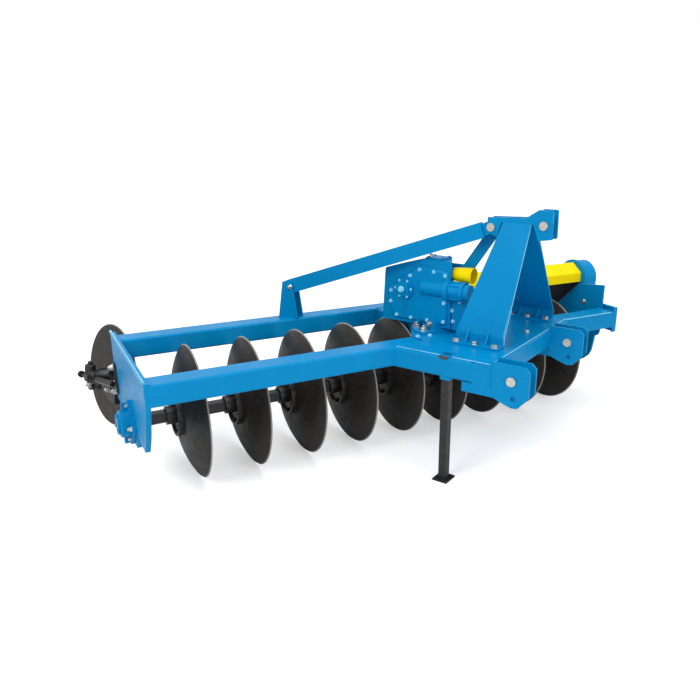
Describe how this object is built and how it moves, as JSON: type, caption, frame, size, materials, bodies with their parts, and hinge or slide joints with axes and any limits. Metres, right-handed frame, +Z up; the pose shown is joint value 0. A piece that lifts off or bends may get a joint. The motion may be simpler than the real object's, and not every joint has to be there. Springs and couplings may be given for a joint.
{
  "type": "driven disc plough",
  "caption": "Tractor-mounted disc plough with a driven oblique gang of dished discs, a three-point headstock, a parking stand and a rear furrow disc.",
  "frame": {"origin": "on the ground at the middle of the plan outline", "axes": "+X is the direction of travel, +Y is the driver's left, +Z is up"},
  "size_m": [2.476, 2.7986, 1.303],
  "materials": {
    "blue_paint": "gloss",
    "disc_steel": "satin",
    "black_paint": "satin",
    "zinc_steel": "zinc",
    "bright_steel": "turned",
    "yellow_guard": "gloss"
  },
  "bodies": {
    "frame": {"brace": "blue_paint", "brace_bracket": "blue_paint", "brace_pin": "zinc_steel", "case_inner_cover": "black_paint", "cross_beam": "blue_paint", "cross_tube_1": "blue_paint", "cross_tube_2": "blue_paint", "deck": "blue_paint", "drive_hood": "yellow_guard", "ear_left": "blue_paint", "ear_right": "blue_paint", "end_guard": "blue_paint", "front_beam": "blue_paint", "gearbox": "blue_paint", "hitch_plate_1": "blue_paint", "hitch_plate_2": "blue_paint", "hitch_plate_3": "blue_paint", "hitch_plate_4": "blue_paint", "input_guard": "yellow_guard", "left_end_plate": "blue_paint", "lower_pin_left": "zinc_steel", "lower_pin_right": "zinc_steel", "mast_left": "blue_paint", "mast_right": "blue_paint", "mast_stay": "blue_paint", "rear_beam": "blue_paint", "right_bearing": "blue_paint", "right_end_plate": "blue_paint", "side_beam": "blue_paint", "side_case": "blue_paint", "stand_sleeve": "blue_paint", "tail_arm": "black_paint", "top_link_pin": "zinc_steel"},
    "gang": {"disc_1": "disc_steel", "disc_2": "disc_steel", "disc_3": "disc_steel", "disc_4": "disc_steel", "disc_5": "disc_steel", "disc_6": "disc_steel", "disc_7": "disc_steel", "disc_8": "disc_steel", "disc_9": "disc_steel", "disc_hubs": "black_paint", "gang_axle": "black_paint"},
    "side_shaft": {"side_shaft": "bright_steel"},
    "input_shaft": {"input_shaft": "bright_steel"},
    "tail_disc": {"tail_disc": "disc_steel"},
    "stand_leg": {"stand_leg": "black_paint"}
  },
  "joints": [
    {"name": "gang_turn", "type": "hinge", "parent": "frame", "child": "gang", "pos_m": [-0.24097, -0.95887, 0.33], "axis": [0.4501, 0.893, 0], "continuous": true},
    {"name": "side_shaft_turn", "type": "hinge", "parent": "frame", "child": "side_shaft", "pos_m": [0.43828, 0.26655, 0.785], "axis": [0.4501, 0.893, 0], "continuous": true},
    {"name": "input_turn", "type": "hinge", "parent": "frame", "child": "input_shaft", "pos_m": [0.64303, 0.05013, 0.951], "axis": [1, 0, 0], "continuous": true},
    {"name": "tail_disc_turn", "type": "hinge", "parent": "frame", "child": "tail_disc", "pos_m": [-0.96197, -0.89887, 0.354], "axis": [0.1717, 0.974, -0.1478], "continuous": true},
    {"name": "stand_slide", "type": "slide", "parent": "frame", "child": "stand_leg", "axis": [0, 0, 1], "range_m": [0, 0.45]}
  ],
  "couplings": [
    {"joint": "side_shaft_turn", "follows": "gang_turn", "ratio": 2.5},
    {"joint": "input_turn", "follows": "gang_turn", "ratio": 5}
  ]
}
